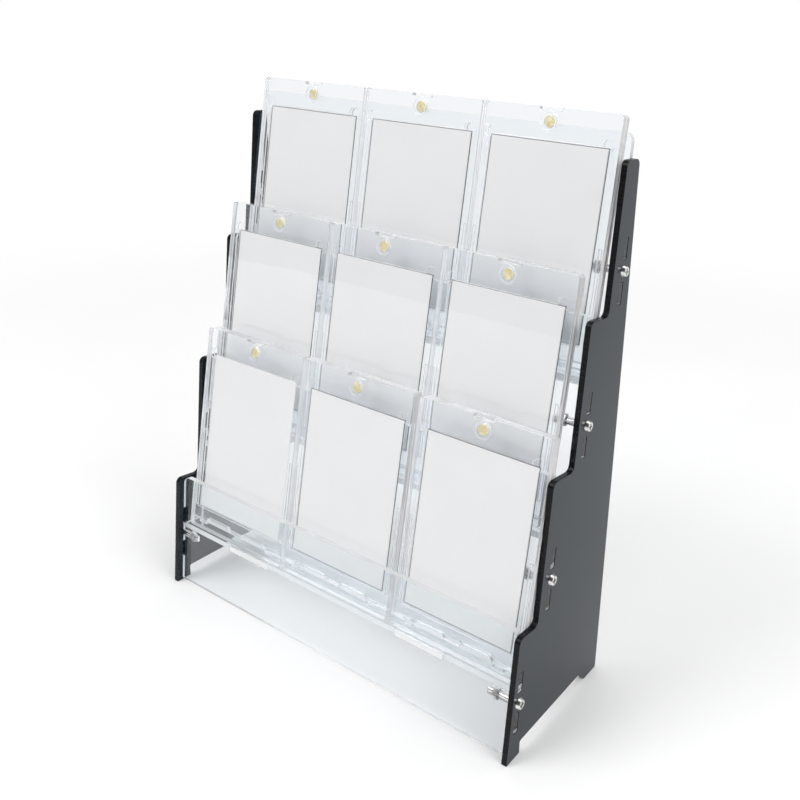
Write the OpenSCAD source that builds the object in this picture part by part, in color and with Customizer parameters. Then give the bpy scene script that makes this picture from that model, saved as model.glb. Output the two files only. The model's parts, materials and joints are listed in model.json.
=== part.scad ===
// Stepped counter stand with nine clear card holders in three leaning rows.
// Two dark side panels carry four clear cross panels and three clear shelves.
// X runs across the front, Y towards the back, Z up, and the origin lies on the
// ground under the middle of the stand. Lengths are millimetres, angles degrees.
// "Up the lean" means along the leaning panels, measured from the front foot.

/* [Sheet] */
// Thickness of the acrylic sheet that all panels and shelves are cut from
sheet_t = 3; // [2.6:0.1:3.4]
// Play round each tab in its slot
tab_play = 0.1; // [0.05:0.05:0.2]
// How far each tab stops short of the far face of its slot
tab_short = 0.2; // [0.1:0.1:0.6]

/* [Tiers] */
// Backwards lean of the tiers
lean = 5.2; // [3:0.1:8]
// Distance from one tier to the next, up the lean
tier_rise = 69.8; // [66:0.2:78]
// Distance from one cross panel to the next, square to the lean
tier_depth = 17.3; // [17:0.1:22]
// Height of the lowest shelf's top face, up the lean
shelf_height = 36.8; // [34:0.2:42]
// Height of each lip over its shelf
lip_height = 29.2; // [24:0.2:34]
// Gap between the ground and the front panel, up the lean
skirt_gap = 1.5; // [1:0.5:4]
// How far each inner panel reaches below the shelf behind which it stands
panel_drop = 8.8; // [6:0.2:14]
// How far the back panel rises over the side panels
back_rise = 10.7; // [6:0.1:16]

/* [Side panels] */
// Distance from the front edge to the middle of the front panel
front_setback = 4.6; // [4:0.1:7]
// Distance from each step's front edge to the middle of its cross panel
step_setback = 7.5; // [6:0.1:9]
// Distance from the top step's front edge to the middle of the back panel
top_setback = 9; // [7:0.1:11]
// How far each lip stands over the step of the side panels
lip_over_step = 0.8; // [0:0.1:3]
// How far the base reaches behind the top of the back panel
base_spare = 0.3; // [0.2:0.1:6]
// Radius of the rounded steps and top corners
step_radius = 3; // [1:0.5:4]
// Depth of the front foot
front_foot = 10.6; // [8:0.1:16]
// Depth of the back foot at the ground
back_foot = 12; // [8:0.5:16]
// Height of the notch between the feet
notch_height = 6.6; // [4:0.1:9]
// How far the notch's back end slants forwards
notch_slant = 6.5; // [2:0.5:9]

/* [Panel joints] */
// Distance from each screw's axis to the tabs over and under it
tab_offset = 5.4; // [5:0.1:7]
// Height of each of those tabs
tab_height = 10.2; // [8:0.1:12]
// How far the front panel's screws lie under its shelf's top face
front_screw_drop = 5.9; // [5.8:0.1:8.4]
// How far the other screws lie over the shelf in front of them
screw_over_shelf = 48.7; // [44:0.1:52]
// Width of each shelf tab
shelf_tab_width = 30; // [20:1:44]
// Distance from the middle of a shelf to the middle of its tabs
shelf_tab_place = 60.5; // [40:0.5:72]
// Gap between a shelf and the panels round it
shelf_play = 0.1; // [0.05:0.05:0.2]
// Radius of the upper corners of the cross panels
panel_radius = 4; // [2:0.5:6]

/* [Fasteners] */
// Diameter of the screws
screw_diameter = 3; // [2.5:0.1:3]
// Length of the screws under the head
screw_length = 16; // [14:1:20]
// Diameter of the screw heads
head_diameter = 5.6; // [5:0.1:7]
// Height of the screw heads
head_height = 1.9; // [1.4:0.1:2.4]
// Diameter of the flat top of the screw heads
head_top = 4.4; // [3.6:0.1:5]
// Width of the slots of the cross recess in the screw heads
cross_width = 0.9; // [0.6:0.1:1.2]
// Length of those slots
cross_length = 3.2; // [2.4:0.1:3.6]
// Depth of those slots
cross_depth = 1.1; // [0.6:0.1:1.2]
// Diameter of the screw holes through the side panels
hole_diameter = 3.4; // [3.2:0.1:4]
// Width of the nuts across their flats
nut_width = 5.5; // [5:0.1:6]
// Thickness of the nuts
nut_height = 2.4; // [2:0.1:3]
// Distance from the side panels' inner faces to the nuts
nut_inset = 7.4; // [5:0.1:9]
// Running clearance between each screw and its nut
thread_play = 0.05; // [0.03:0.01:0.1]

/* [Cards] */
// Width of a card
card_width = 63.5; // [60:0.5:66]
// Height of a card
card_height = 88.9; // [85:0.1:92]
// Thickness of a card
card_thickness = 0.5; // [0.3:0.05:0.6]
// Play round a card in its recess
card_play = 0.4; // [0.2:0.1:0.8]
// Gap between a card and the floor of its recess
card_seat = 0.05; // [0.02:0.01:0.1]

/* [Card holders] */
// Width of the solid margin beside the card recess
side_margin = 5.15; // [4.6:0.05:7]
// Height of the solid margin under the card recess
bottom_margin = 12.7; // [10:0.1:15]
// Height of the solid bar over the card recess
top_margin = 14.8; // [14:0.1:18]
// Thickness of each of the two shells
shell_thickness = 2.95; // [2.9:0.05:3.4]
// Gap between the closed shells
parting_gap = 0.1; // [0.05:0.05:0.2]
// Depth of the card recess in the back shell
recess_depth = 0.75; // [0.7:0.05:1]
// Depth of the shallow pane in the front face
pane_depth = 0.4; // [0.2:0.1:0.6]
// Radius of the finger ears at the recess's upper corners
ear_radius = 2.8; // [2:0.1:3.2]
// How far the ears' middle lies over the recess's upper edge
ear_rise = 1; // [0:0.1:1.4]
// How far the ears' middle lies inside the recess's side edge
ear_inset = 0.8; // [0:0.1:1.6]
// Radius of the holders' outer corners
holder_radius = 2; // [1:0.5:3]
// Diameter of the magnets and of the steel discs that they pull on
magnet_diameter = 5.6; // [4:0.1:6]
// Thickness of the magnets
magnet_thickness = 1.8; // [1:0.1:2]
// Thickness of the steel discs
disc_thickness = 1.2; // [0.8:0.1:1.6]
// Distance from the magnets' axis to the holders' top edge
magnet_drop = 6.5; // [6.4:0.1:7.2]
// Radial play of magnets and discs in their pockets
magnet_play = 0.05; // [0.03:0.01:0.1]
// Outer diameter of the raised ring round each magnet
ring_diameter = 9.6; // [8:0.1:9.6]
// Width of the raised ring
ring_width = 0.9; // [0.6:0.1:1.2]
// Height of the raised ring
ring_height = 0.3; // [0.2:0.1:0.4]
// Width of the thumb notch in the top edge
thumb_width = 11.5; // [8:0.5:16]
// Depth of the thumb notch
thumb_depth = 1.5; // [0.8:0.1:1.5]
// Height of the back shell's foot ledge, on which the front shell stands
ledge_height = 5.5; // [4:0.1:7]
// Gap between the ledge and the front shell's foot
ledge_gap = 0.3; // [0.2:0.1:0.5]
// Width of the hinge lugs under the front shell's foot
lug_width = 5.4; // [4:0.1:8]
// Distance from the middle of a holder to the middle of its lugs
lug_place = 27; // [26.5:0.5:31]
// Thickness of the hinge lugs
lug_thickness = 1.4; // [1:0.1:1.6]
// How far the lugs reach into the ledge
lug_depth = 2; // [1.2:0.1:2.6]
// Play round the lugs, enough for the front shell to tip
lug_play = 0.35; // [0.3:0.05:0.5]
// Width of the two long notches in the front shell's foot
foot_notch_width = 18.5; // [10:0.5:19]
// Height of those notches
foot_notch_height = 2.2; // [1:0.1:3]
// Distance from the middle of a holder to the middle of those notches
foot_notch_place = 14; // [12:0.5:14]
// Width of the alignment ridges beside the card recess
ridge_width = 1.2; // [0.8:0.1:1.6]
// Height of those ridges
ridge_height = 0.8; // [0.4:0.1:1]
// Play round the ridges in their grooves
ridge_play = 0.25; // [0.15:0.05:0.3]

/* [Places] */
// Sideways room that the three holders of a row leave between them
row_room = 7.2; // [7:0.2:14]
// Gaps of the bottom row: left wall to left holder, left to centre, centre to right
bottom_gaps = [3.6, 0.3, 3.0]; // [0.3:0.1:6]
// Gaps of the middle row, named in the same order
middle_gaps = [0.3, 0.3, 0.4]; // [0.3:0.1:6]
// Gaps of the top row, named in the same order
top_gaps = [4.2, 0.3, 0.3]; // [0.3:0.1:6]
// Gap between a holder's foot and the lip in front of it
foot_gap = 0.5; // [0.4:0.1:0.8]
// Gap between a holder's foot and its shelf
seat_gap = 0.1; // [0.05:0.05:0.2]
// Gap between a holder's back and the edge that it leans on
rest_gap = 0.15; // [0.1:0.05:0.25]

/* [Hidden] */
$fn = 48;
// Extra length by which a cutter passes a face
past = 1;
// Straight pieces that draw each rounded corner of a panel
arc_steps = 8;
TIERS = 3;
SIDES = [-1, 1];
ROWS = ["bottom", "middle", "top"];
COLUMNS = ["left", "centre", "right"];
row_gaps = [bottom_gaps, middle_gaps, top_gaps];

recess_width_x = card_width + 2 * card_play;
recess_height = card_height + 2 * card_play;
holder_width = recess_width_x + 2 * side_margin;
holder_height = bottom_margin + recess_height + top_margin;
holder_thickness = 2 * shell_thickness + parting_gap;
front_shell_base = shell_thickness + parting_gap;
magnet_height = holder_height - magnet_drop;
front_shell_foot = ledge_height + ledge_gap;

inner_width = len(COLUMNS) * holder_width + row_room;
outer_width = inner_width + 2 * sheet_t;
tab_reach = sheet_t - tab_short;

// Places square to the lean (back) and up the lean (up) of the tiers' pieces
function panel_back(tier) = front_setback + tier * tier_depth;
function shelf_up(tier) = shelf_height + tier * tier_rise;
function lip_up(tier) = shelf_up(tier) + lip_height;
function step_up(tier) = lip_up(tier) - lip_over_step;
function edge_back(tier) =
    tier == 0 ? 0 : panel_back(tier) - (tier == TIERS ? top_setback : step_setback);
function screw_up(tier) =
    tier == 0 ? shelf_height - front_screw_drop : shelf_up(tier - 1) + screw_over_shelf;

// The same places in the upright frame, with Y counted from the front foot
function lean_y(back, up) = back * cos(lean) + up * sin(lean);
function lean_z(back, up) = up * cos(lean) - back * sin(lean);
function lean_point(back, up) = [lean_y(back, up), lean_z(back, up)];

side_height = lean_z(edge_back(TIERS), step_up(TIERS));
back_face = panel_back(TIERS) + sheet_t / 2;
back_panel_up = (side_height + back_rise + back_face * sin(lean)) / cos(lean);
base_depth = lean_y(back_face, back_panel_up) + base_spare;
function panel_top(tier) = tier == TIERS ? back_panel_up : lip_up(tier);
function panel_bottom(tier) = tier == 0 ? skirt_gap : shelf_up(tier - 1) - panel_drop;

// A holder's back foot edge, and how much further than the tiers it leans
function foot_back(tier) = panel_back(tier) + sheet_t / 2 + foot_gap + holder_thickness;
function rest_back(tier) = panel_back(tier + 1) - sheet_t / 2 - rest_gap;
function extra_lean(tier) =
    atan((rest_back(tier) - foot_back(tier)) / (panel_top(tier + 1) - shelf_up(tier)));
function gaps_before(gaps, column) = column < 0 ? 0 : gaps[column] + gaps_before(gaps, column - 1);
function holder_x(tier, column) =
    gaps_before(row_gaps[tier], column) + (column + 0.5) * holder_width - inner_width / 2;

function holder_node(piece, tier, column) = str(ROWS[tier], "_", COLUMNS[column], "_", piece);
HOLDER_PIECES = ["back_shell", "front_shell", "magnet", "steel_disc", "card"];

// The arc that rounds one corner of an outline, as a list of points
function corner_arc(before, corner, after, radius) =
    let (
        u = (before - corner) / norm(before - corner),
        v = (after - corner) / norm(after - corner),
        half = acos(u * v) / 2,
        centre = corner + (u + v) / norm(u + v) * radius / sin(half),
        start = corner + u * radius / tan(half) - centre,
        end = corner + v * radius / tan(half) - centre,
        sweep = 180 - 2 * half,
        turn = sign(start.x * end.y - start.y * end.x)
    )
    [for (i = [0 : arc_steps])
        let (a = turn * sweep * i / arc_steps)
        centre + [start.x * cos(a) - start.y * sin(a), start.x * sin(a) + start.y * cos(a)]];

// An outline whose corners are [x, y, radius], with radius 0 for a sharp one
function rounded(corners) =
    let (n = len(corners), xy = [for (c = corners) [c.x, c.y]])
    [for (i = [0 : n - 1])
        each corners[i].z > 0
            ? corner_arc(xy[(i + n - 1) % n], xy[i], xy[(i + 1) % n], corners[i].z)
            : [xy[i]]];

// Puts what is drawn as X across, Y up the lean and Z forwards at its place in the stand
module leaned(back, up = 0, more = 0) {
    translate([0, lean_y(back, up) - base_depth / 2, lean_z(back, up)])
        rotate([90 - lean - more, 0, 0])
            children();
}

// Puts a piece where a screw passes a side panel's inner face, with X pointing outwards
module at_screw(tier, side) {
    leaned(panel_back(tier), screw_up(tier))
        translate([side * inner_width / 2, 0, 0])
            mirror([side < 0 ? 1 : 0, 0, 0])
                children();
}

// Boxes over and under the screw's axis, where a cross panel's tabs lie
module tab_pair(length, play) {
    for (side = SIDES)
        translate([0, side * (tab_offset + tab_height / 2), 0])
            translate([0, -tab_height / 2 - play, -sheet_t / 2 - play])
                cube([length, tab_height + 2 * play, sheet_t + 2 * play]);
}

// Boxes where a shelf's tabs pass through the panels before and behind it
module shelf_tabs(depth, play) {
    for (side = SIDES)
        translate([side * shelf_tab_place - shelf_tab_width / 2 - play, -sheet_t - play, 0])
            cube([shelf_tab_width + 2 * play, sheet_t + 2 * play, depth]);
}

// Side panels

function side_steps() =
    [for (tier = [0 : TIERS])
        let (
            top = lean_point(edge_back(tier), step_up(tier)),
            inner = lean_point(edge_back(tier + 1), step_up(tier))
        )
        each tier == TIERS ? [[top.x, top.y, step_radius]]
            : [[top.x, top.y, step_radius], [inner.x, inner.y, step_radius]]];

side_outline = rounded(concat(
    [[0, 0, 0]],
    side_steps(),
    [
        [base_depth, side_height, step_radius],
        [base_depth, 0, 0],
        [base_depth - back_foot, 0, 0],
        [base_depth - back_foot - notch_slant, notch_height, 1],
        [front_foot, notch_height, 1],
        [front_foot, 0, 0]
    ]
));

module side_panel(side) {
    color("#3a4045") difference() {
        translate([side * (inner_width + sheet_t) / 2 - sheet_t / 2, -base_depth / 2, 0])
            rotate([90, 0, 90])
                linear_extrude(sheet_t)
                    polygon(side_outline);
        for (tier = [0 : TIERS])
            at_screw(tier, side) {
                translate([-past, 0, 0])
                    tab_pair(sheet_t + 2 * past, tab_play);
                translate([-past, 0, 0])
                    rotate([0, 90, 0])
                        cylinder(d = hole_diameter, h = sheet_t + 2 * past);
            }
    }
}

module left_side_panel() { side_panel(-1); }
module right_side_panel() { side_panel(1); }

// Cross panels

module cross_panel(tier) {
    half = inner_width / 2 - shelf_play;
    bottom = panel_bottom(tier) - screw_up(tier);
    top = panel_top(tier) - screw_up(tier);
    slot_width = screw_diameter + 2 * tab_play;
    slot_depth = screw_length - sheet_t + tab_play;
    color("#dfe6ea") difference() {
        union() {
            leaned(panel_back(tier), screw_up(tier))
                translate([0, 0, -sheet_t / 2])
                    linear_extrude(sheet_t)
                        polygon(rounded([
                            [-half, bottom, 1], [half, bottom, 1],
                            [half, top, panel_radius], [-half, top, panel_radius]
                        ]));
            for (side = SIDES)
                at_screw(tier, side)
                    translate([-panel_radius, 0, 0])
                        tab_pair(panel_radius + tab_reach, 0);
        }
        for (side = SIDES)
            at_screw(tier, side) {
                translate([-slot_depth, -slot_width / 2, -sheet_t])
                    cube([slot_depth + past, slot_width, 2 * sheet_t]);
                translate([-nut_inset - nut_height - tab_play, -nut_width / 2 - tab_play, -sheet_t])
                    cube([nut_height + 2 * tab_play, nut_width + 2 * tab_play, 2 * sheet_t]);
            }
        if (tier < TIERS)
            leaned(panel_back(tier), shelf_up(tier))
                translate([0, 0, -sheet_t])
                    shelf_tabs(2 * sheet_t, tab_play);
        if (tier > 0)
            leaned(panel_back(tier), shelf_up(tier - 1))
                translate([0, 0, -sheet_t])
                    shelf_tabs(2 * sheet_t, tab_play);
    }
}

module front_panel() { cross_panel(0); }
module lower_cross_panel() { cross_panel(1); }
module upper_cross_panel() { cross_panel(2); }
module back_panel() { cross_panel(3); }

// Shelves

module shelf(tier) {
    width = inner_width - 2 * shelf_play;
    depth = tier_depth - sheet_t - 2 * shelf_play;
    color("#dfe6ea") leaned(panel_back(tier) + tier_depth / 2, shelf_up(tier)) {
        translate([-width / 2, -sheet_t, -depth / 2])
            cube([width, sheet_t, depth]);
        translate([0, 0, -tier_depth / 2 - sheet_t / 2 + tab_short])
            shelf_tabs(tier_depth + sheet_t - 2 * tab_short, 0);
    }
}

module lower_shelf() { shelf(0); }
module middle_shelf() { shelf(1); }
module upper_shelf() { shelf(2); }

// Fasteners

module screw() {
    translate([sheet_t, 0, 0])
        rotate([0, 90, 0]) difference() {
            union() {
                translate([0, 0, -screw_length])
                    cylinder(d = screw_diameter, h = screw_length);
                cylinder(d1 = head_diameter, d2 = head_top, h = head_height);
            }
            for (turn = [0, 90])
                rotate([0, 0, turn])
                    translate([-cross_length / 2, -cross_width / 2, head_height - cross_depth])
                        cube([cross_length, cross_width, cross_depth + past]);
        }
}

module nut() {
    translate([-nut_inset - nut_height, 0, 0])
        rotate([0, 90, 0]) difference() {
            cylinder(d = nut_width / cos(30), h = nut_height, $fn = 6);
            translate([0, 0, -past])
                cylinder(d = screw_diameter + 2 * thread_play, h = nut_height + 2 * past);
        }
}

module screws(side) {
    color("#d8dadc")
        for (tier = [0 : TIERS])
            at_screw(tier, side) screw();
}

module nuts(side) {
    color("#c4c6c8")
        for (tier = [0 : TIERS])
            at_screw(tier, side) nut();
}

module left_screws() { screws(-1); }
module right_screws() { screws(1); }
module left_nuts() { nuts(-1); }
module right_nuts() { nuts(1); }

// Card holders, drawn with X across, Y up the holder and Z from its back to its front

module holder_outline() {
    half = holder_width / 2;
    polygon(rounded([
        [-half, 0, holder_radius], [half, 0, holder_radius],
        [half, holder_height, holder_radius], [-half, holder_height, holder_radius]
    ]));
}

// The card's place seen from the front, with round ears to lift the card out by
module recess_outline() {
    half = recess_width_x / 2;
    translate([-half, bottom_margin])
        square([recess_width_x, recess_height]);
    for (side = SIDES)
        translate([side * (half - ear_inset), bottom_margin + recess_height + ear_rise])
            circle(r = ear_radius);
}

// A round body on the magnet's axis
module pocket(thickness, play) {
    translate([0, magnet_height, 0])
        cylinder(d = magnet_diameter + 2 * play, h = thickness);
}

// Alignment ridges; the grooves are the same boxes with play, run out through the mating face
module ridges(play, out = 0) {
    place = recess_width_x / 2 + side_margin / 2;
    for (side = SIDES)
        translate([side * place - ridge_width / 2 - play, bottom_margin - play, -play])
            cube([ridge_width + 2 * play, recess_height / 2 + 2 * play, ridge_height + play + out]);
}

// Hinge lugs under the front shell's foot; their slots in the ledge are open at the top
module lugs(play, out = 0) {
    for (side = SIDES)
        translate([
            side * lug_place - lug_width / 2 - play,
            front_shell_foot - lug_depth - play,
            front_shell_base - play
        ])
            cube([lug_width + 2 * play, lug_depth + play + out, lug_thickness + 2 * play]);
}

// Long notches with round upper corners in the front shell's foot
module foot_notches() {
    half = foot_notch_width / 2;
    for (side = SIDES)
        translate([side * foot_notch_place, front_shell_foot])
            polygon(rounded([
                [-half, -past, 0], [half, -past, 0],
                [half, foot_notch_height, foot_notch_height * 0.9],
                [-half, foot_notch_height, foot_notch_height * 0.9]
            ]));
}

module back_shell() {
    color("#e6edf0") difference() {
        union() {
            linear_extrude(shell_thickness)
                holder_outline();
            linear_extrude(holder_thickness)
                intersection() {
                    holder_outline();
                    translate([-holder_width, 0])
                        square([2 * holder_width, ledge_height]);
                }
        }
        translate([0, 0, shell_thickness - recess_depth])
            linear_extrude(recess_depth + past)
                recess_outline();
        translate([0, 0, shell_thickness - disc_thickness - magnet_play])
            pocket(disc_thickness + past, magnet_play);
        translate([0, 0, front_shell_base - ridge_height])
            ridges(ridge_play, past);
        lugs(lug_play, ledge_gap + past);
    }
}

module front_shell() {
    color("#e6edf0") {
        translate([0, 0, front_shell_base]) difference() {
            union() {
                linear_extrude(shell_thickness)
                    difference() {
                        holder_outline();
                        translate([-holder_width, -past])
                            square([2 * holder_width, front_shell_foot + past]);
                        foot_notches();
                    }
                translate([0, magnet_height, 0])
                    cylinder(d = ring_diameter, h = shell_thickness + ring_height);
            }
            translate([0, magnet_height, shell_thickness])
                cylinder(d = ring_diameter - 2 * ring_width, h = ring_height + past);
            translate([0, 0, shell_thickness - pane_depth])
                linear_extrude(pane_depth + past)
                    recess_outline();
            translate([0, 0, -past])
                pocket(magnet_thickness + magnet_play + past, magnet_play);
            translate([-thumb_width / 2, holder_height - thumb_depth, -past])
                cube([thumb_width, thumb_depth + past, shell_thickness + 2 * past]);
        }
        translate([0, 0, front_shell_base - ridge_height])
            ridges(0);
        lugs(0);
    }
}

module magnet() {
    color("#e8dfae")
        translate([0, 0, front_shell_base])
            pocket(magnet_thickness, 0);
}

module steel_disc() {
    color("#b9bcbf")
        translate([0, 0, shell_thickness - disc_thickness])
            pocket(disc_thickness, 0);
}

module card() {
    color("#e8e8e8")
        translate([-card_width / 2, bottom_margin + card_play, shell_thickness - recess_depth + card_seat])
            cube([card_width, card_height, card_thickness]);
}

// Stands a holder on its shelf, leaning on the edge of the next panel
module in_row(tier, column) {
    translate([holder_x(tier, column), 0, 0])
        leaned(foot_back(tier), shelf_up(tier) + seat_gap, extra_lean(tier))
            children();
}

module holder_piece(piece) {
    if (piece == "back_shell") back_shell();
    if (piece == "front_shell") front_shell();
    if (piece == "magnet") magnet();
    if (piece == "steel_disc") steel_disc();
    if (piece == "card") card();
}

left_side_panel();
right_side_panel();
front_panel();
lower_cross_panel();
upper_cross_panel();
back_panel();
lower_shelf();
middle_shelf();
upper_shelf();
left_screws();
right_screws();
left_nuts();
right_nuts();
for (tier = [0 : TIERS - 1], column = [0 : len(COLUMNS) - 1], piece = HOLDER_PIECES)
    in_row(tier, column) holder_piece(piece);
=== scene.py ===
"""Stepped counter stand of dark and clear acrylic sheet, with nine clear card holders.

The file follows the stand as it is put together: the camera and the room, the two side
panels, the clear panels and shelves, the fasteners, and then the holders and their cards.
Lengths are metres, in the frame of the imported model: X across, Y to the back, Z up.
"""

import json
import math

import bpy
from mathutils import Matrix, Vector


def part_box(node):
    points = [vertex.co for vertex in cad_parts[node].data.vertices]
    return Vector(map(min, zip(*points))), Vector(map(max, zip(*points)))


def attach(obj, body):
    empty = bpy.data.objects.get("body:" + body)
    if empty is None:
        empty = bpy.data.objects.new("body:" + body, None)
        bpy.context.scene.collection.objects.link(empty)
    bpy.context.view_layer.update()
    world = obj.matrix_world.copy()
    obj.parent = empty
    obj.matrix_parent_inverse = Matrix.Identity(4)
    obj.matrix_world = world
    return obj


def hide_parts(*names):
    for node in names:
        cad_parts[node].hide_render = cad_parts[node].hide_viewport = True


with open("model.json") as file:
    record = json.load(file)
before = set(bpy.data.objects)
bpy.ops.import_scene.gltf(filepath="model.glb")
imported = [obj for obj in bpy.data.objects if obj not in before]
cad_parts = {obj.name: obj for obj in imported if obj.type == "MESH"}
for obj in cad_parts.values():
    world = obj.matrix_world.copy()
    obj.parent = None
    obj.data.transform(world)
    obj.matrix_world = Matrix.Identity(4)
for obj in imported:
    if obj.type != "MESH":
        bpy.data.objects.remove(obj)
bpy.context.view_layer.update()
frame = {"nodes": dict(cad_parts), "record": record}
nodes = frame["nodes"]
bpy.ops.object.select_all(action="DESELECT")


# Camera
# It stands to the right of the stand and looks slightly down on it. Its place and turn were found by
# matching the stand's corners, edges and screws in the photograph, whose middle lies off the lens axis.
PHOTO_SIZE = 800
SENSOR_WIDTH = 36
camera_place = Vector((0.2890, -0.3194, 0.3225))
camera_pitch = 1.2667
camera_roll = 0.0517
camera_turn = 0.5654
focal_pixels = 893.6
axis_pixel = (520, 306)

camera_data = bpy.data.cameras.new("camera")
camera_data.sensor_width = SENSOR_WIDTH
camera_data.lens = focal_pixels / PHOTO_SIZE * SENSOR_WIDTH
camera_data.shift_x = (PHOTO_SIZE / 2 - axis_pixel[0]) / PHOTO_SIZE
camera_data.shift_y = (axis_pixel[1] - PHOTO_SIZE / 2) / PHOTO_SIZE
camera_data.clip_start = 0.01
camera = bpy.data.objects.new("camera", camera_data)
camera.matrix_world = (
    Matrix.Translation(camera_place)
    @ Matrix.Rotation(camera_turn, 4, "Z")
    @ Matrix.Rotation(camera_pitch, 4, "X")
    @ Matrix.Rotation(camera_roll, 4, "Z")
)
bpy.context.scene.collection.objects.link(camera)
bpy.context.scene.camera = camera


# Surround
# A white studio. The camera sees it plain white. Mirrored rays find a darker ceiling and a dark side
# behind the camera, which give gloss its shape, and rays through clear plastic find the ceiling alone.
def add_node(tree, kind, feed=None, **settings):
    """Adds a shader node with its settings, and links a given output to its first input."""
    made = tree.nodes.new(kind)
    for name, value in settings.items():
        setattr(made, name, value)
    if feed is not None:
        tree.links.new(feed, made.inputs[0])
    return made


def set_or_link(tree, socket, value):
    """Gives a socket a plain number, or the output of another node."""
    if isinstance(value, (int, float)):
        socket.default_value = value
    else:
        tree.links.new(value, socket)


def math_node(tree, operation, first, second, clamp=False):
    """The result of a Math node whose two inputs are numbers or sockets."""
    made = add_node(tree, "ShaderNodeMath", operation=operation, use_clamp=clamp)
    set_or_link(tree, made.inputs[0], first)
    set_or_link(tree, made.inputs[1], second)
    return made.outputs[0]


def map_range(tree, value, low, high, to_low, to_high, curve="LINEAR"):
    """A clamped change of a value from the range low to high into the range to_low to to_high."""
    made = add_node(tree, "ShaderNodeMapRange", value, interpolation_type=curve)
    for label, limit in (("From Min", low), ("From Max", high), ("To Min", to_low), ("To Max", to_high)):
        made.inputs[label].default_value = limit
    return made.outputs[0]


def background(tree, strength):
    """White surround of a given strength, a number or a socket."""
    made = add_node(tree, "ShaderNodeBackground")
    made.inputs["Color"].default_value = (1, 1, 1, 1)
    set_or_link(tree, made.inputs["Strength"], strength)
    return made.outputs[0]


def choose(tree, share, first, second):
    """Mixes two shaders by a share socket."""
    made = add_node(tree, "ShaderNodeMixShader", share)
    tree.links.new(first, made.inputs[1])
    tree.links.new(second, made.inputs[2])
    return made.outputs[0]


SURROUND_WHITE = 1.0
SURROUND_LIGHT = 0.5
DARK_CEILING = 0.25
DARK_FRONT = 0.12

world = bpy.data.worlds.new("studio")
world.use_nodes = True
bpy.context.scene.world = world
tree = world.node_tree
tree.nodes.clear()
paths = add_node(tree, "ShaderNodeLightPath").outputs
looking = add_node(tree, "ShaderNodeTexCoord").outputs["Generated"]
looking = add_node(tree, "ShaderNodeSeparateXYZ", looking).outputs
ceiling = map_range(tree, looking["Z"], 0.25, 0.75, SURROUND_WHITE, DARK_CEILING, "SMOOTHSTEP")
front = map_range(tree, looking["Y"], -0.8, 0.1, DARK_FRONT, SURROUND_WHITE, "SMOOTHSTEP")
mirrored = background(tree, math_node(tree, "MULTIPLY", ceiling, front))
surround = choose(tree, paths["Is Glossy Ray"], background(tree, SURROUND_LIGHT), mirrored)
surround = choose(tree, paths["Is Transmission Ray"], surround, background(tree, ceiling))
surround = choose(tree, paths["Is Camera Ray"], surround, background(tree, SURROUND_WHITE))
tree.links.new(surround, add_node(tree, "ShaderNodeOutputWorld").inputs["Surface"])


# Floor
# An even pale matt floor that keeps the stand's shadow. Further out it fades into the white of the
# surround, for the camera and for mirrored and clear rays, but not for the light that it gives back.
def new_material(name):
    """An empty material: the material, its tree and its output node."""
    material = bpy.data.materials.new(name)
    material.use_nodes = True
    tree = material.node_tree
    tree.nodes.clear()
    return material, tree, tree.nodes.new("ShaderNodeOutputMaterial")


FLOOR_SIZE = 8
FLOOR_LIFT = 0.05
FLOOR_GREY = (0.88, 0.92)
FLOOR_GRAIN = 60
SHADOW_REACH = 0.35
WHITE_FROM = 1.0

pale_floor, tree, output = new_material("pale_floor")
surface = add_node(tree, "ShaderNodeTexCoord").outputs
grain = add_node(tree, "ShaderNodeTexNoise")
grain.inputs["Scale"].default_value = FLOOR_GRAIN
grey = map_range(tree, grain.outputs["Fac"], 0, 1, *FLOOR_GREY)
matt = add_node(tree, "ShaderNodeBsdfDiffuse", grey).outputs[0]
lift = add_node(tree, "ShaderNodeEmission")
lift.inputs["Strength"].default_value = FLOOR_LIFT
lifted = add_node(tree, "ShaderNodeAddShader", matt)
tree.links.new(lift.outputs[0], lifted.inputs[1])
backdrop = add_node(tree, "ShaderNodeEmission")
backdrop.inputs["Strength"].default_value = SURROUND_WHITE
from_middle = add_node(tree, "ShaderNodeVectorMath", surface["Object"], operation="LENGTH").outputs
fade = map_range(tree, from_middle["Value"], SHADOW_REACH, WHITE_FROM, 0, 1, "SMOOTHSTEP")
shown = choose(tree, fade, lifted.outputs[0], backdrop.outputs[0])
paths = add_node(tree, "ShaderNodeLightPath").outputs
seen = math_node(tree, "ADD", paths["Is Camera Ray"], paths["Is Glossy Ray"])
seen = math_node(tree, "ADD", seen, paths["Is Transmission Ray"], clamp=True)
tree.links.new(choose(tree, seen, matt, shown), output.inputs["Surface"])

bpy.ops.mesh.primitive_plane_add(size=FLOOR_SIZE, location=(0, 0, 0))
floor = bpy.context.object
floor.name = "floor"
floor.data.materials.append(pale_floor)


# Lamps
# Three large soft lamps: the key from the left front, a weaker one from the right, one from above.
# Each has its name, place, the point it faces, its width and its power in watts.
for name, place, aim, width, power in (
    ("key_lamp", (-0.7, -0.9, 1.3), (0, 0, 0.12), 0.9, 12),
    ("side_lamp", (1.2, -0.1, 0.9), (0, 0, 0.14), 0.8, 7),
    ("top_lamp", (0.1, 0.5, 1.5), (0, 0, 0.1), 1.0, 6),
):
    lamp = bpy.data.lights.new(name, "AREA")
    lamp.shape = "SQUARE"
    lamp.size = width
    lamp.energy = power
    holder = bpy.data.objects.new(name, lamp)
    holder.location = place
    holder.rotation_euler = (Vector(aim) - Vector(place)).to_track_quat("-Z", "Y").to_euler()
    bpy.context.scene.collection.objects.link(holder)

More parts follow.
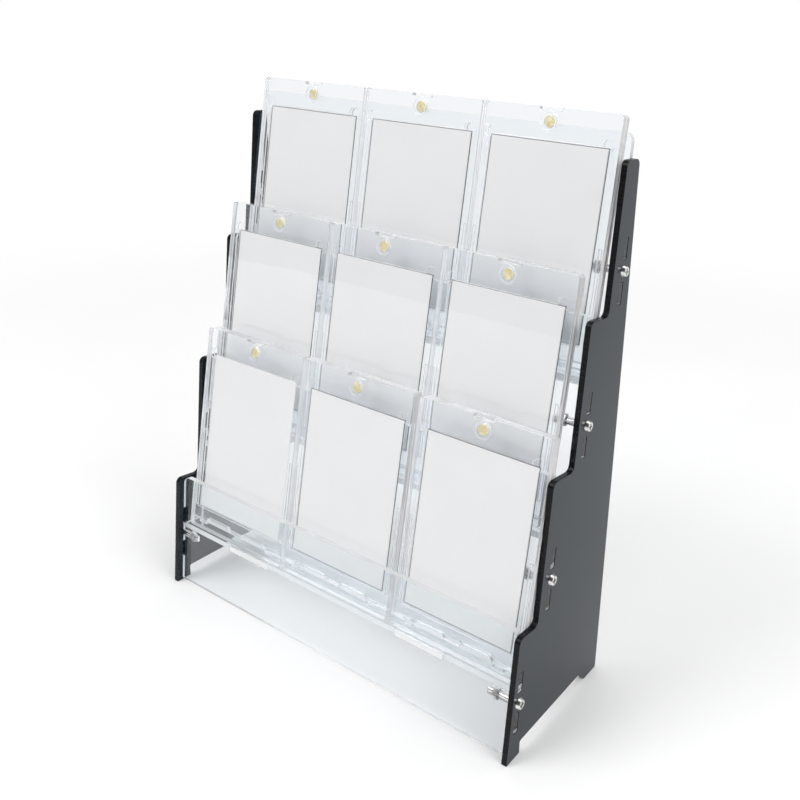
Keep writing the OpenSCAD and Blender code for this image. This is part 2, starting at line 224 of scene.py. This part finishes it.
# Colours are shown as written, and rays may pass the many faces of clear layers that lie nine deep
bpy.context.scene.view_settings.view_transform = "Standard"
bpy.context.scene.cycles.max_bounces = 28
bpy.context.scene.cycles.transmission_bounces = 28
bpy.context.scene.cycles.transparent_max_bounces = 64


# Side panels
# Two panels cut by laser from 3 mm black acrylic sheet, glossy on both faces, with finely ribbed edges
# where the beam passed. They carry all cross panels on tabs and screws.
MERGE_DISTANCE = 0.000002
SHARP_FROM = math.radians(35)
SMOOTH_BELOW = math.radians(32)
FLAT_WITHIN = math.radians(0.5)
BROAD_FACE_LIMIT = 0.8
LARGEST_FACE_LEADS = 100

body_of_node = {
    name: body for body, members in frame["record"]["behaviour"]["bodies"].items() for name in members
}


def merged_copy(name):
    """A copy of a CAD node with its triangles joined up. It replaces the node and rides on its body."""
    bpy.ops.object.select_all(action="DESELECT")
    bpy.context.view_layer.objects.active = nodes[name]
    nodes[name].select_set(True)
    bpy.ops.object.duplicate()
    piece = bpy.context.object
    piece.name = name + "_finished"
    piece.parent = None
    # The duplicate carries the frame's marks, which belong to the node alone
    for key in [key for key in piece.keys() if key.startswith("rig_")]:
        del piece[key]
    bpy.ops.object.mode_set(mode="EDIT")
    bpy.ops.mesh.select_all(action="SELECT")
    bpy.ops.mesh.remove_doubles(threshold=MERGE_DISTANCE)
    bpy.ops.mesh.customdata_custom_splitnormals_clear()
    bpy.ops.object.mode_set(mode="OBJECT")
    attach(piece, body_of_node[name])
    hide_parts(name)
    return piece


def join_flat_faces():
    """Drops the slivers of the active piece, and joins the triangles of each flat face into one."""
    bpy.ops.object.mode_set(mode="EDIT")
    bpy.ops.mesh.select_all(action="SELECT")
    bpy.ops.mesh.dissolve_degenerate(threshold=MERGE_DISTANCE)
    bpy.ops.mesh.dissolve_limited(angle_limit=FLAT_WITHIN)
    bpy.ops.object.mode_set(mode="OBJECT")


def ease_edges(piece, width, steps):
    """Rounds off the sharp edges of a copy and keeps its broad faces flat.

    The rounding keeps its full width beside short edges too, and the slivers that this leaves are
    dropped. The normals then follow the largest face at each corner, so that mirror images stay true.
    """
    rounding = piece.modifiers.new("rounding", "BEVEL")
    rounding.width = width
    rounding.segments = steps
    rounding.limit_method = "ANGLE"
    rounding.angle_limit = SHARP_FROM
    rounding.miter_outer = "MITER_ARC"
    rounding.use_clamp_overlap = False
    rounding.loop_slide = False
    bpy.ops.object.modifier_apply(modifier=rounding.name)
    join_flat_faces()
    bpy.ops.object.shade_smooth_by_angle(angle=SMOOTH_BELOW)
    flat_faces = piece.modifiers.new("flat_faces", "WEIGHTED_NORMAL")
    flat_faces.weight = LARGEST_FACE_LEADS
    flat_faces.keep_sharp = True
    bpy.ops.object.modifier_apply(modifier=flat_faces.name)


def is_broad(face, direction):
    """Whether a face looks along a direction or against it."""
    return abs(face.normal.dot(Vector(direction))) >= BROAD_FACE_LIMIT


def dress(piece, face_material, edge_material=None, broad_direction=None):
    """Gives a piece one material, or a second one on all faces that turn away from its broad faces."""
    piece.data.materials.clear()
    piece.data.materials.append(face_material)
    if edge_material:
        piece.data.materials.append(edge_material)
        for face in piece.data.polygons:
            face.material_index = int(not is_broad(face, broad_direction))


def noise(tree, vector, scale, detail, stretch=None):
    """Noise on a vector. Scale is a number or a socket, and a small stretch draws it out along an axis."""
    if stretch is not None:
        mapping = add_node(tree, "ShaderNodeMapping", vector)
        mapping.inputs["Scale"].default_value = stretch
        vector = mapping.outputs[0]
    made = add_node(tree, "ShaderNodeTexNoise", vector)
    made.inputs["Detail"].default_value = detail
    set_or_link(tree, made.inputs["Scale"], scale)
    return made.outputs["Fac"]


def new_group(name, inputs, outputs):
    """A shader node group with number inputs, given with their defaults, and number outputs."""
    tree = bpy.data.node_groups.new(name, "ShaderNodeTree")
    for label, value in inputs.items():
        tree.interface.new_socket(label, in_out="INPUT", socket_type="NodeSocketFloat").default_value = value
    for label in outputs:
        tree.interface.new_socket(label, in_out="OUTPUT", socket_type="NodeSocketFloat")
    return tree, tree.nodes.new("NodeGroupInput").outputs, tree.nodes.new("NodeGroupOutput").inputs


def use_group(tree, group, **values):
    """Places a node group in a material with its own values."""
    placed = add_node(tree, "ShaderNodeGroup", node_tree=group)
    for label, value in values.items():
        placed.inputs[label.replace("_", " ")].default_value = value
    return placed.outputs


def bumped(tree, height, strength, distance):
    """The normal of a surface raised by a height socket."""
    bump = add_node(tree, "ShaderNodeBump")
    bump.inputs["Strength"].default_value = strength
    bump.inputs["Distance"].default_value = distance
    tree.links.new(height, bump.inputs["Height"])
    return bump.outputs[0]


def mix_colours(tree, share, first, second):
    """Two colours mixed by a share socket. A Mix node's colour inputs are its seventh and eighth."""
    mixed = add_node(tree, "ShaderNodeMix", share, data_type="RGBA")
    mixed.inputs[6].default_value = (*first, 1)
    mixed.inputs[7].default_value = (*second, 1)
    return mixed.outputs[2]


def principled(tree, output, **values):
    """A Principled BSDF on the output, with its plain values set."""
    shader = add_node(tree, "ShaderNodeBsdfPrincipled")
    for label, value in values.items():
        shader.inputs[label.replace("_", " ")].default_value = value
    tree.links.new(shader.outputs[0], output.inputs["Surface"])
    return shader.inputs


# Handling marks of a polished face: broad smears, fine dust and hair scratches
handling_marks, given, made = new_group(
    "handling_marks", {"Smear size": 25, "Dust size": 1400}, ("Smear", "Dust", "Scratches")
)
surface = add_node(handling_marks, "ShaderNodeTexCoord").outputs
smear = noise(handling_marks, surface["Object"], given["Smear size"], 4)
handling_marks.links.new(map_range(handling_marks, smear, 0.42, 0.72, 0, 1), made["Smear"])
dust = noise(handling_marks, surface["Object"], given["Dust size"], 1)
handling_marks.links.new(map_range(handling_marks, dust, 0.72, 0.8, 0, 1), made["Dust"])
hair = noise(handling_marks, surface["Object"], 160, 5, stretch=(1, 1.3, 0.12))
handling_marks.links.new(map_range(handling_marks, hair, 0.47, 0.5, 0, 1), made["Scratches"])

ACRYLIC_IOR = 1.49
BLACK = (0.004, 0.008, 0.013)
DUSTY_BLACK = (0.012, 0.016, 0.021)
COOL_GLOSS = (0.75, 0.9, 1.0, 1)
POLISH_SMOOTH = 0.05
POLISH_SMEARED = 0.11
DUST_ROUGH = 0.25
SCRATCH_DEPTH = 0.000006

black_acrylic, tree, output = new_material("black_acrylic")
shader = principled(tree, output, IOR=ACRYLIC_IOR, Specular_IOR_Level=0.42, Specular_Tint=COOL_GLOSS)
marks = use_group(tree, handling_marks, Smear_size=18, Dust_size=1500)
colour = mix_colours(tree, marks["Dust"], BLACK, DUSTY_BLACK)
tree.links.new(colour, shader["Base Color"])
smeared = map_range(tree, marks["Smear"], 0, 1, POLISH_SMOOTH, POLISH_SMEARED)
dusted = math_node(tree, "MULTIPLY", marks["Dust"], DUST_ROUGH)
tree.links.new(math_node(tree, "ADD", smeared, dusted, clamp=True), shader["Roughness"])
tree.links.new(bumped(tree, marks["Scratches"], 0.25, SCRATCH_DEPTH), shader["Normal"])

EDGE_BLACK = (0.002, 0.003, 0.004)
RIB_BLACK = (0.006, 0.007, 0.008)
RIB_DEPTH = 0.0002

black_cut_edge, tree, output = new_material("black_acrylic_cut_edge")
shader = principled(tree, output, IOR=ACRYLIC_IOR, Specular_IOR_Level=0.15)
surface = add_node(tree, "ShaderNodeTexCoord").outputs
ribs = noise(tree, surface["Object"], 900, 2, stretch=(0.08, 1, 1))
tree.links.new(mix_colours(tree, ribs, EDGE_BLACK, RIB_BLACK), shader["Base Color"])
tree.links.new(map_range(tree, ribs, 0.3, 0.7, 0.22, 0.34), shader["Roughness"])
tree.links.new(bumped(tree, ribs, 0.25, RIB_DEPTH), shader["Normal"])

CUT_EASE = 0.00015
CUT_EASE_STEPS = 2
for name in ("left_side_panel", "right_side_panel"):
    panel = merged_copy(name)
    ease_edges(panel, CUT_EASE, CUT_EASE_STEPS)
    dress(panel, black_acrylic, black_cut_edge, (1, 0, 0))


# Clear panels and shelves
# The four cross panels and three shelves are cut by laser from 3 mm clear acrylic, with flame polished
# edges. The edges scatter white, a painted highlight in place of the light that the sheet gathers.
# The sheet has a faint cool tint, and its tabs end in the side panels' slots.
LEAN = math.radians(5.2)
across_panels = (0, math.cos(LEAN), -math.sin(LEAN))
along_panels = (0, math.sin(LEAN), math.cos(LEAN))
inner_face, outer_face = (corner[0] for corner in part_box("right_side_panel"))
tab_ends_from = (inner_face + outer_face) / 2
PASSING_TINT = (0.975, 0.98, 0.985, 1)
CLEAR_SCRATCH_DEPTH = 0.00001


def clear_material(name, colour, through, smooth, smeared, relief):
    """Clear plastic that bends light and lets lamp light through to what it covers.

    The share through is clear and the rest scatters white. The roughness goes from smooth to smeared,
    and relief is the strength of the scratches.
    """
    material, tree, output = new_material(name)
    shader = add_node(tree, "ShaderNodeBsdfPrincipled")
    shader.inputs["Base Color"].default_value = (*colour, 1)
    shader.inputs["IOR"].default_value = ACRYLIC_IOR
    shader.inputs["Transmission Weight"].default_value = through
    marks = use_group(tree, handling_marks, Smear_size=14, Dust_size=1300)
    tree.links.new(map_range(tree, marks["Smear"], 0, 1, smooth, smeared), shader.inputs["Roughness"])
    tree.links.new(bumped(tree, marks["Scratches"], relief, CLEAR_SCRATCH_DEPTH), shader.inputs["Normal"])
    passing = add_node(tree, "ShaderNodeBsdfTransparent")
    passing.inputs["Color"].default_value = PASSING_TINT
    paths = add_node(tree, "ShaderNodeLightPath").outputs
    lit = math_node(tree, "ADD", paths["Is Shadow Ray"], paths["Is Diffuse Ray"], clamp=True)
    tree.links.new(choose(tree, lit, shader.outputs[0], passing.outputs[0]), output.inputs["Surface"])
    return material


clear_sheet = clear_material("clear_acrylic", (0.915, 0.94, 0.955), 1.0, 0.01, 0.03, 0.2)
# Cut edges: partly clear, the rest scatters white as a painted highlight of the light gathered in the sheet
clear_edge_painted_highlight = clear_material("clear_acrylic_edge_painted_highlight", (0.97, 0.98, 0.99), 0.35, 0.1, 0.2, 1.0)
for name in ("front_panel", "lower_cross_panel", "upper_cross_panel", "back_panel"):
    panel = merged_copy(name)
    ease_edges(panel, CUT_EASE, CUT_EASE_STEPS)
    dress(panel, clear_sheet, clear_edge_painted_highlight, across_panels)
    # The ends of the tabs lie in the dark slots and show the sheet itself, without the edges' painted
    # highlight
    for face in panel.data.polygons:
        if abs(face.center.x) > tab_ends_from:
            face.material_index = 0
for name in ("lower_shelf", "middle_shelf", "upper_shelf"):
    shelf = merged_copy(name)
    ease_edges(shelf, CUT_EASE, CUT_EASE_STEPS)
    dress(shelf, clear_sheet, clear_edge_painted_highlight, along_panels)


# Screws and nuts
# Nickel plated pan head screws with a cross recess, pressed cold and threaded, and zinc plated
# hexagon nuts that sit in slots of the cross panels.
METAL_EASE = 0.00008
METAL_EASE_STEPS = 2
DENT_DEPTH = 0.00005

# Surface of a metal part: worn patches four times as broad as its fine grain
metal_grain, given, made = new_group("metal_grain", {"Grain size": 2000}, ("Patches", "Grain"))
surface = add_node(metal_grain, "ShaderNodeTexCoord").outputs
patch_size = math_node(metal_grain, "MULTIPLY", given["Grain size"], 0.25)
patches = noise(metal_grain, surface["Object"], patch_size, 3)
metal_grain.links.new(map_range(metal_grain, patches, 0.4, 0.65, 0, 1), made["Patches"])
metal_grain.links.new(noise(metal_grain, surface["Object"], given["Grain size"], 5), made["Grain"])


def metal_material(name, colour, worn, rough, grain_size):
    """Plated or bare metal: its colour, the colour where it is worn, its roughness and its grain."""
    material, tree, output = new_material(name)
    shader = principled(tree, output, Metallic=1.0)
    metal = use_group(tree, metal_grain, Grain_size=grain_size)
    tree.links.new(mix_colours(tree, metal["Patches"], colour, worn), shader["Base Color"])
    tree.links.new(map_range(tree, metal["Grain"], 0.3, 0.7, rough * 0.7, rough * 1.4), shader["Roughness"])
    tree.links.new(bumped(tree, metal["Grain"], 0.12, DENT_DEPTH), shader["Normal"])
    return material


nickel = metal_material("nickel", (0.82, 0.82, 0.81), (0.66, 0.66, 0.65), 0.2, 3000)
zinc = metal_material("zinc", (0.72, 0.73, 0.75), (0.55, 0.57, 0.6), 0.3, 2500)
fastener_metals = {"left_screws": nickel, "right_screws": nickel, "left_nuts": zinc, "right_nuts": zinc}
for name, metal in fastener_metals.items():
    fasteners = merged_copy(name)
    ease_edges(fasteners, METAL_EASE, METAL_EASE_STEPS)
    dress(fasteners, metal)


# Holder shells
# Each card holder is two moulded shells of clear plastic that close on a card. The front shell tips
# forwards on two lugs at its foot. Their outer walls and steps scatter white, a painted highlight in place
# of the light that they gather and let through, as on the panels' edges.
ROWS = ("bottom", "middle", "top")
COLUMNS = ("left", "centre", "right")
holders = [f"{row}_{column}" for row in ROWS for column in COLUMNS]
MOULD_EASE = 0.0002
MOULD_EASE_STEPS = 3

clear_shell = clear_material("clear_moulding", (0.97, 0.98, 0.99), 1.0, 0.008, 0.02, 0.2)
# Walls and steps: partly clear, the rest scatters white as a painted highlight of light gathered and seen
# through
shell_wall_painted_highlight = clear_material("clear_moulding_wall_painted_highlight", (0.98, 0.985, 1.0), 0.42, 0.03, 0.1, 0.5)
for holder in holders:
    for half in ("back_shell", "front_shell"):
        shell = merged_copy(f"{holder}_{half}")
        ease_edges(shell, MOULD_EASE, MOULD_EASE_STEPS)
        dress(shell, clear_shell, shell_wall_painted_highlight, across_panels)


# Magnets and discs
# A round magnet with pale gold plating is pressed into a ring of the front shell. It pulls on a bare
# steel disc in the back shell, and the two keep the holder shut.
plating = metal_material("pale_gold_plating", (0.72, 0.62, 0.32), (0.88, 0.82, 0.58), 0.22, 1400)
steel = metal_material("bare_steel", (0.60, 0.60, 0.59), (0.48, 0.47, 0.45), 0.34, 1800)
for holder in holders:
    for name, metal in (("magnet", plating), ("steel_disc", steel)):
        disc = merged_copy(f"{holder}_{name}")
        ease_edges(disc, METAL_EASE, METAL_EASE_STEPS)
        dress(disc, metal)


# Cards
# Blank cards of satin board, each lying in the recess of its back shell, with a thin dark line printed
# round the edge of both faces.
CARD_IOR = 1.45
CARD_WHITE = (0.845, 0.838, 0.828)
CLOUDED_WHITE = (0.86, 0.852, 0.842)
FIBRE_DEPTH = 0.00003

blank_card, tree, output = new_material("blank_card")
shader = principled(tree, output, IOR=CARD_IOR)
surface = add_node(tree, "ShaderNodeTexCoord").outputs
clouds = map_range(tree, noise(tree, surface["Object"], 45, 3), 0.35, 0.65, 0, 1)
tree.links.new(mix_colours(tree, clouds, CARD_WHITE, CLOUDED_WHITE), shader["Base Color"])
fibres = noise(tree, surface["Object"], 900, 6, stretch=(1, 1, 0.35))
tree.links.new(map_range(tree, fibres, 0.3, 0.7, 0.38, 0.5), shader["Roughness"])
tree.links.new(bumped(tree, fibres, 0.1, FIBRE_DEPTH), shader["Normal"])

BORDER_WIDTH = 0.00035
INK = (0.10, 0.10, 0.11)
THIN_INK = (0.16, 0.16, 0.17)

card_border, tree, output = new_material("card_border")
shader = principled(tree, output, IOR=CARD_IOR)
surface = add_node(tree, "ShaderNodeTexCoord").outputs
ink = noise(tree, surface["Object"], 700, 4)
thinned = map_range(tree, ink, 0.35, 0.65, 0, 1)
tree.links.new(mix_colours(tree, thinned, INK, THIN_INK), shader["Base Color"])
tree.links.new(map_range(tree, ink, 0.3, 0.7, 0.35, 0.5), shader["Roughness"])
for holder in holders:
    card = merged_copy(f"{holder}_card")
    join_flat_faces()
    for face in card.data.polygons:
        face.select = is_broad(face, across_panels)
    bpy.ops.object.mode_set(mode="EDIT")
    bpy.ops.mesh.select_mode(type="FACE")
    bpy.ops.mesh.inset(thickness=BORDER_WIDTH, depth=0)
    bpy.ops.object.mode_set(mode="OBJECT")
    dress(card, blank_card)
    card.data.materials.append(card_border)
    for face in card.data.polygons:
        face.material_index = int(not face.select)
